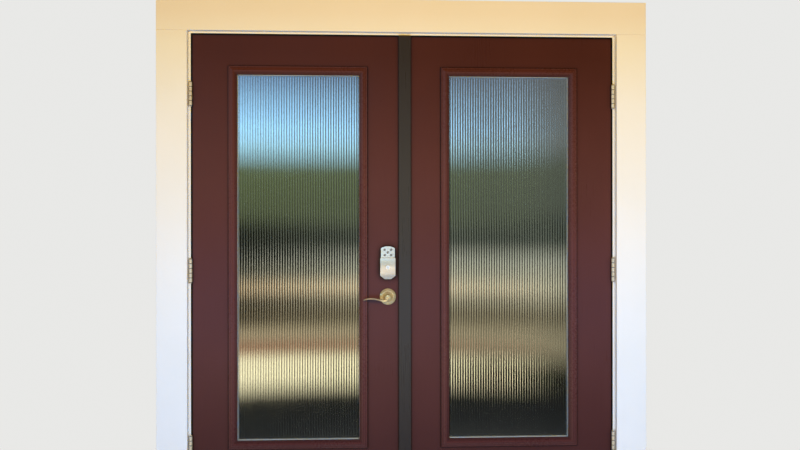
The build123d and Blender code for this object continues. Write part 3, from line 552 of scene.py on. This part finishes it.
def reeded_pane(side):
    """A pane whose front is a row of convex reeds between two narrow flats: over one reed the face
    falls back from its crest by the depth times the square of the share of half a pitch that
    separates them."""
    low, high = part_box(f"{side}_reeded_pane")
    reeds = int((high.x - low.x) // reed_pitch)
    first = (low.x + high.x - reeds * reed_pitch) / 2
    steps = np.arange(reeds * points_per_reed + 1) / points_per_reed
    from_crest = np.concatenate([[1.0], 2 * (steps - np.floor(steps)) - 1, [1.0]])
    across = np.concatenate([[low.x], first + steps * reed_pitch, [high.x]])
    front = low.y + reed_depth * from_crest**2
    back = np.full_like(front, high.y)
    levels = (low.z, high.z)
    face = np.stack([np.stack([across, front, np.full_like(across, z)], 1) for z in levels])
    rear = np.stack([np.stack([across, back, np.full_like(across, z)], 1) for z in levels])
    foot = np.stack([face[0], rear[0]])
    head = np.stack([face[1], rear[1]])
    ends = [np.stack([face[:, end], rear[:, end]]) for end in (0, -1)]
    pane = joined(
        f"{side}_reeded_glass",
        [face, rear, foot, head] + ends,
        glass(f"{side}_reeded_film", f"{side}_reeded_pane", 0.5, 0.8, 0.00002, reeds),
        f"{side}_leaf",
    )
    pane.visible_shadow = False
    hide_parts(f"{side}_reeded_pane")


for side in ("left", "right"):
    reeded_pane(side)
    dress(glass(f"{side}_clear_film", f"{side}_inner_pane", 0.1, 0.1, 0.0001), f"{side}_inner_pane")
dress(
    painted("spacer_metal", light(236, 234, 232), light(226, 224, 222), (1, 1, 1), 0.35, 0.00002, 0.8),
    "left_glass_spacer",
    "right_glass_spacer",
)

# Sweeps. A vinyl strip with hanging fins is pinned under each leaf, and hangs just clear of the
# threshold's rib while the leaf is shut.

dress(
    rubber("sweep_vinyl", light(74, 68, 62), light(48, 44, 41)),
    "left_bottom_sweep",
    "right_bottom_sweep",
)

# Hinges. Six butt hinges with round corners, brass plated and lacquered, are screwed into mortises of
# jamb and leaf. The barrels stand outside, where weather has dulled them.

hinge_spacing = 0.76
lowest_hinge = 0.284
knuckle = 0.0203
ring_starts = 0.42
ring_full = 0.46
barrel_back = 0.001


def knuckled(finish, point, colour):
    """Painted shade in dark rings where the barrels' knuckles meet: half a knuckle from each hinge's
    middle, and every knuckle after that."""
    up = finish.node("ShaderNodeSeparateXYZ", {0: point}, output=2)
    turned = {0: up - lowest_hinge + hinge_spacing, 1: hinge_spacing / 2}
    from_middle = finish.node("ShaderNodeMath", turned, {"operation": "PINGPONG"})
    turned = {0: from_middle / knuckle, 1: 0.5}
    from_joint = finish.node("ShaderNodeMath", turned, {"operation": "PINGPONG"})
    inwards = finish.node("ShaderNodeSeparateXYZ", {0: point}, output=1)
    outside = spread(finish, inwards, -barrel_back, 0.0, 1.0, 0.0)
    ring = spread(finish, from_joint, ring_starts, ring_full) * outside
    return between(finish, ring, colour, light(60, 46, 30))


hinge_brass = metal(
    "hinge_brass",
    light(252, 240, 214),
    light(232, 214, 178),
    (1, 1, 0.2),
    0.26,
    patches=30,
    shine=0.35,
    marked=knuckled,
)
screw_brass = metal(
    "screw_brass",
    light(232, 208, 150),
    light(196, 164, 104),
    (1, 1, 1),
    0.3,
    patches=60,
    shine=0.5,
)
dress(
    hinge_brass,
    "left_hinge_jamb_plates",
    "right_hinge_jamb_plates",
    "left_hinge_leaf_plates",
    "right_hinge_leaf_plates",
    "hinge_pins",
)
hinge_lines = [lowest_hinge + row * hinge_spacing for row in range(3)]
screw_rows = ((-0.036, 0.027), (-0.012, 0.014), (0.012, 0.027), (0.036, 0.014))
recess_depth = 0.0013
recess_arm = 0.0006
recess_reach = 0.0024
screw_spokes = 24
screw_profile = [(step * 0.0005, 0.0) for step in range(6)]
screw_profile += [(0.0042, 0.0), (0.0021, 0.0021), (0.0021, 0.018), (0.0, 0.018)]


def crossed_screws(node, body, face, outward, sides):
    """Countersunk screws with a cross recess, turned from a profile of radius and depth. The recess
    is deepest in the middle, and falls off with the square of the distance from each arm's line and
    along the arm."""
    radius, depth = (np.array(column)[:, None] for column in zip(*screw_profile))
    turn = np.linspace(0, 2 * math.pi, screw_spokes + 1)[None, :]
    along_y = radius * np.cos(turn)
    along_z = radius * np.sin(turn)
    from_arm = np.minimum(abs(along_y), abs(along_z)) / recess_arm
    share = np.clip(1 - from_arm**2, 0, 1) * np.clip(1 - (radius / recess_reach) ** 2, 0, 1)
    sunk = depth + recess_depth * share * (depth == 0)
    sheets = []
    for side in sides:
        for height in hinge_lines:
            for drop, inset in screw_rows:
                x = side * (face - outward * sunk)
                sheets.append(np.stack([x, inset + along_y, height + drop + along_z], -1))
    screws = joined(node.replace("hinge", "crossed"), sheets, screw_brass, body)
    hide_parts(node)


jamb_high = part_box("jamb_hinge_screws")[1]
leaf_low, leaf_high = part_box("right_leaf_hinge_screws")
screw_length = leaf_high.x - leaf_low.x
crossed_screws("jamb_hinge_screws", "frame", jamb_high.x - screw_length, -1, (-1, 1))
crossed_screws("left_leaf_hinge_screws", "left_leaf", leaf_high.x, 1, (-1,))
crossed_screws("right_leaf_hinge_screws", "right_leaf", leaf_high.x, 1, (1,))

# Astragal. A flat aluminium bar, anodised dark bronze, is screwed to the active leaf's edge and laps
# the other leaf over a soft seal.

# The bar carries painted shade by height, darker towards the head and the sill.
dress(
    painted(
        "bronze_bar",
        light(63, 59, 56),
        light(59, 55, 52),
        upright,
        0.3,
        0.00005,
        gloss=0.5,
        marked=painted_height_shade,
    ),
    "astragal",
)
dress(rubber("astragal_rubber", light(40, 38, 36), light(24, 23, 22)), "astragal_seal")

# Locks. A latch and a deadbolt sit in the active leaf's edge, and their strikes and the flush bolts
# in the other leaf's. Brass levers on dished roses work the latch from both sides.

grey_share = 0.75
grey_feather = 0.012


def handled(finish, point, colour):
    """Brass turned grey-brown on the lever's arm, away from the hub."""
    low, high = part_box("outer_rose")
    across = finish.node("ShaderNodeSeparateXYZ", {0: point})
    greyed = spread(finish, across, low.x, low.x + grey_feather, grey_share, 0.0)
    return between(finish, greyed, colour, light(150, 128, 112))


brass_gilt = (light(255, 236, 184), light(250, 220, 160))
# The lock brass's painted shade reaches far, to darken the roses round the levers' hubs.
lock_looks = {"patches": 40, "shine": 0.65, "reach": 0.014, "crowd": (0.45, 0.85)}
lock_brass = metal("polished_brass", *brass_gilt, (1, 1, 1), 0.15, 0.00002, **lock_looks)
lever_brass = metal(
    "lever_brass", *brass_gilt, (1, 1, 1), 0.15, 0.00002, marked=handled, **lock_looks
)
dress(lever_brass, "outer_lever")
dress(
    lock_brass,
    "latch_case",
    "latch_bolt",
    "deadbolt_case",
    "deadbolt",
    "latch_strike",
    "deadbolt_strike",
    "outer_rose",
    "inner_rose",
    "inner_lever",
    "thumbturn",
    "flush_bolt_strikes",
    "top_flush_bolt_plate",
    "bottom_flush_bolt_plate",
    "top_flush_bolt_rod",
    "bottom_flush_bolt_rod",
)

# Keypad lock. The outer housing is die cast and plated a pale brass, with five push buttons over the
# key cylinder. A moulded cover holds its works inside.

key_height = 1.0575
dome_curvature = 2.8
dome_foot = -0.06
dome_head = 0.036


def domed(finish, point):
    """How far the housing's face falls back from its crown: half the curvature times the square of
    the height above or below the key, and beyond the dome's reach evenly, at the slope it has there."""
    up = finish.node("ShaderNodeSeparateXYZ", {0: point}, output=2)
    from_key = up - key_height
    held = spread(finish, from_key, dome_foot, dome_head, dome_foot, dome_head)
    return 0 - (from_key * held - held * held * 0.5) * dome_curvature


keypad_metal = metal(
    "keypad_metal",
    light(255, 252, 244),
    light(252, 246, 232),
    (1, 1, 1),
    0.12,
    0.00002,
    patches=45,
    shine=0.68,
    relief=domed,
)
button_metal = metal(
    "button_metal", light(176, 172, 166), light(150, 146, 140), (1, 1, 1), 0.2, patches=160, shine=0.4
)
digit_paint = painted("digit_paint", light(40, 36, 34), light(30, 28, 26), (1, 1, 1), 0.5, crevice_shade=1.0)
digit_size = 0.0085
digit_rise = 0.00012
digit_weight = 0.0002
dress(keypad_metal, "keypad_housing")
dress(
    metal("plug_metal", light(254, 254, 250), light(248, 246, 240), (1, 1, 1), 0.3, shine=0.1),
    "key_plug",
)


def digit(number):
    """A numeral of built-in lettering, stood upright on the front of its button: the flat text's x
    and y become x and z, and its thickness lies along y, half of it sunk in the button."""
    low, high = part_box(f"keypad_button_{number}")
    curve = bpy.data.curves.new(f"digit_{number}", "FONT")
    curve.body = str(number)
    curve.size = digit_size
    curve.extrude = digit_rise
    curve.offset = digit_weight
    curve.align_x = "CENTER"
    curve.align_y = "CENTER"
    text = bpy.data.objects.new(curve.name, curve)
    bpy.context.scene.collection.objects.link(text)
    bpy.context.view_layer.update()
    mesh = bpy.data.meshes.new_from_object(text.evaluated_get(bpy.context.evaluated_depsgraph_get()))
    bpy.data.objects.remove(text)
    flat = np.empty(len(mesh.vertices) * 3)
    mesh.vertices.foreach_get("co", flat)
    flat = flat.reshape(-1, 3)
    centre = (flat.min(0) + flat.max(0)) / 2
    upright_text = np.stack(
        [
            (low.x + high.x) / 2 + flat[:, 0] - centre[0],
            low.y - flat[:, 2],
            (low.z + high.z) / 2 + flat[:, 1] - centre[1],
        ],
        1,
    )
    mesh.vertices.foreach_set("co", upright_text.ravel())
    shape = bmesh.new()
    shape.from_mesh(mesh)
    bmesh.ops.remove_doubles(shape, verts=shape.verts, dist=merge_distance)
    bmesh.ops.recalc_face_normals(shape, faces=shape.faces)
    shape.to_mesh(mesh)
    shape.free()
    mesh.materials.clear()
    mesh.materials.append(digit_paint)
    piece = bpy.data.objects.new(f"button_digit_{number}", mesh)
    bpy.context.scene.collection.objects.link(piece)
    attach(piece, f"button_{number}")


for number in range(1, 6):
    dress(button_metal, f"keypad_button_{number}")
    digit(number)
dress(
    painted("cover_plastic", light(206, 180, 128), light(190, 160, 108), (1, 1, 1), 0.34),
    "inner_lock_cover",
)

# Studio. A pale floor fades into a pale backdrop. A long warm lamp before the upper half and a long
# cool one before the lower half light the doors softly, and a lamp behind lights the room side.

floor_reach = 14.0
floor_spokes = 96
floor_rings = 28
floor_fade = (1.0, 1.6)
backdrop = light(232, 232, 230)


def studio_floor():
    """A disc at floor level: rings of points at a radius times the cosine and sine of an angle."""
    turn = np.linspace(0, 2 * math.pi, floor_spokes + 1)
    radius = np.linspace(0, floor_reach, floor_rings + 1)[:, None]
    disc = np.stack([radius * np.cos(turn), radius * np.sin(turn), radius * 0 * turn], -1)
    finish = Finish(bpy.data.materials.new("floor_paper"))
    point = place(finish)
    distance = finish.node("ShaderNodeVectorMath", {0: point}, {"operation": "LENGTH"}, output=1)
    paper = finish.node(
        "ShaderNodeBsdfDiffuse",
        {"Color": between(finish, clouds(finish, point, 3), light(226, 225, 222), light(232, 231, 229))},
    )
    clear = finish.node("ShaderNodeBsdfTransparent")
    fade = spread(finish, distance, *floor_fade)
    surface = finish.node("ShaderNodeMixShader", {0: fade, 1: paper, 2: clear})
    finish.node("ShaderNodeOutputMaterial", {"Surface": surface})
    mesh = bpy.data.meshes.new("floor")
    count = disc.shape[0] * disc.shape[1]
    index = np.arange(count).reshape(disc.shape[:2])
    corners = (index[:-1, :-1], index[1:, :-1], index[1:, 1:], index[:-1, 1:])
    faces = np.stack(corners, axis=-1).reshape(-1, 4)
    mesh.from_pydata(disc.reshape(-1, 3).tolist(), [], faces.tolist())
    mesh.materials.append(finish.owner)
    floor = bpy.data.objects.new("floor", mesh)
    bpy.context.scene.collection.objects.link(floor)
    floor.visible_glossy = False
    floor.visible_transmission = False


def lamp(name, where, towards, size, power, colour):
    """A soft box, size wide and high, at a point and turned to face another. Nothing sees it but
    through its light."""
    data = bpy.data.lights.new(name, "AREA")
    data.shape = "RECTANGLE"
    data.size, data.size_y = size
    data.energy = power
    data.color = colour
    box = bpy.data.objects.new(name, data)
    box.location = where
    aim = np.array(towards) - np.array(where)
    box.rotation_euler = (
        math.atan2(math.hypot(aim[0], aim[1]), -aim[2]),
        0,
        math.atan2(-aim[0], aim[1]),
    )
    bpy.context.scene.collection.objects.link(box)
    box.visible_camera = False
    box.visible_glossy = False
    box.visible_transmission = False


studio_floor()
lamp("warm_lamp", (0.25, -2.6, 1.6), (0.25, 0, 1.6), (5.0, 0.5), 88, (1.0, 0.7, 0.12))
lamp("cool_lamp", (0.2, -1.7, 0.72), (0.2, 0, 0.72), (5.0, 0.5), 56, (0.0, 0.36, 1.0))
lamp("rear_lamp", (0.6, 3.6, 2.4), (0, 0, 1.1), (2.6, 1.6), 64, (0.92, 0.96, 1.0))

garden_reach = 0.5
garden_split = (-0.06, 0.02)
band_below_level = 0.05
band_reach = (0.07, 0.1)
ahead_reach = (0.2, 0.36)
lock_left_of_axis = 0.04
lock_reach = (0.02, 0.05)
room_reach = (-0.1, 0.1)
lock_glow = 2.5
open_glow = 2.4
ahead_glow = 3.0
side_glow = 0.3
room_glow = 0.15
even_glow = 0.14


def surroundings():
    """The world: the camera sees plain backdrop, matt surfaces get soft even light, and gloss and
    glass mirror a garden's bands of ground, hedge and sky, which change with the height of the
    direction looked in, differ from side to side, and give way to a dim room on the inner side."""
    world = bpy.data.worlds.new("studio")
    bpy.context.scene.world = world
    finish = Finish(world)
    looked = finish.node("ShaderNodeTexCoord")
    sideways = finish.node("ShaderNodeSeparateXYZ", {0: looked}, output=0)
    inwards = finish.node("ShaderNodeSeparateXYZ", {0: looked}, output=1)
    height = finish.node("ShaderNodeSeparateXYZ", {0: looked}, output=2)

    def bands(stops):
        coloured = [(position, light(*colour)) for position, colour in stops]
        rise = spread(finish, height, -garden_reach, garden_reach)
        return finish.node("ShaderNodeValToRGB", {0: rise}, {"stops": coloured})

    left_garden = bands(
        [
            (0.00, (96, 92, 88)),
            (0.20, (36, 36, 36)),
            (0.25, (34, 33, 30)),
            (0.285, (224, 206, 166)),
            (0.31, (222, 204, 165)),
            (0.33, (128, 88, 66)),
            (0.352, (140, 122, 96)),
            (0.372, (70, 60, 46)),
            (0.40, (46, 38, 28)),
            (0.422, (138, 112, 84)),
            (0.445, (56, 52, 43)),
            (0.47, (22, 20, 18)),
            (0.51, (34, 33, 27)),
            (0.54, (72, 76, 54)),
            (0.605, (80, 86, 58)),
            (0.645, (148, 190, 210)),
            (0.67, (152, 200, 236)),
            (0.745, (100, 126, 156)),
            (0.78, (38, 33, 31)),
            (1.00, (56, 40, 30)),
        ]
    )
    right_garden = bands(
        [
            (0.00, (96, 92, 88)),
            (0.22, (36, 36, 36)),
            (0.29, (16, 15, 14)),
            (0.335, (124, 112, 90)),
            (0.38, (104, 94, 76)),
            (0.422, (160, 150, 128)),
            (0.465, (138, 134, 120)),
            (0.495, (72, 74, 66)),
            (0.61, (76, 78, 68)),
            (0.65, (95, 94, 90)),
            (0.745, (88, 86, 84)),
            (0.78, (38, 33, 31)),
            (1.00, (56, 40, 30)),
        ]
    )
    garden = between(finish, spread(finish, sideways, *garden_split), left_garden, right_garden)
    from_level = finish.node("ShaderNodeMath", {0: height + band_below_level}, {"operation": "ABSOLUTE"})
    from_lock = finish.node("ShaderNodeMath", {0: sideways + lock_left_of_axis}, {"operation": "ABSOLUTE"})
    from_axis = finish.node("ShaderNodeMath", {0: sideways}, {"operation": "ABSOLUTE"})
    open_band = spread(finish, from_level, *band_reach)
    ahead = spread(finish, from_axis, *ahead_reach, 1.0, 0.0)
    strength = spread(finish, from_lock, *lock_reach, lock_glow, 1.0)
    level_band = (1.0 - open_band) * (ahead * ahead_glow + side_glow)
    strength = strength * (open_band * open_glow + level_band)
    strength = strength * spread(finish, inwards, *room_reach, 1.0, room_glow)
    mirrored = finish.node("ShaderNodeBackground", {"Color": garden, "Strength": strength})
    even = finish.node("ShaderNodeBackground", {"Color": light(255, 200, 104), "Strength": even_glow})
    seen = finish.node("ShaderNodeBackground", {"Color": backdrop, "Strength": 1.0})
    ray = "ShaderNodeLightPath"
    from_camera = finish.node(ray, output=0)
    from_gloss = finish.node(ray, output=3) + finish.node(ray, output=6)
    indirect = finish.node("ShaderNodeMixShader", {0: from_gloss, 1: even, 2: mirrored})
    whole = finish.node("ShaderNodeMixShader", {0: from_camera, 1: indirect, 2: seen})
    finish.node("ShaderNodeOutputWorld", {"Surface": whole})
    world.cycles.sampling_method = "NONE"


surroundings()
bpy.context.scene.view_settings.view_transform = "Standard"

# Camera. A 28 mm lens 1.18 m above the sill's underside and 2.7 m before the doors, turned two
# degrees to the right.

camera = bpy.data.objects.new("camera", bpy.data.cameras.new("camera"))
camera.data.lens = 28
camera.data.sensor_width = 36
camera.data.shift_y = 0.0162
camera.location = (-0.1156, -2.7077, 1.184)
camera.rotation_euler = (math.radians(90), math.radians(0.05), math.radians(-2.05))
bpy.context.scene.collection.objects.link(camera)
bpy.context.scene.camera = camera
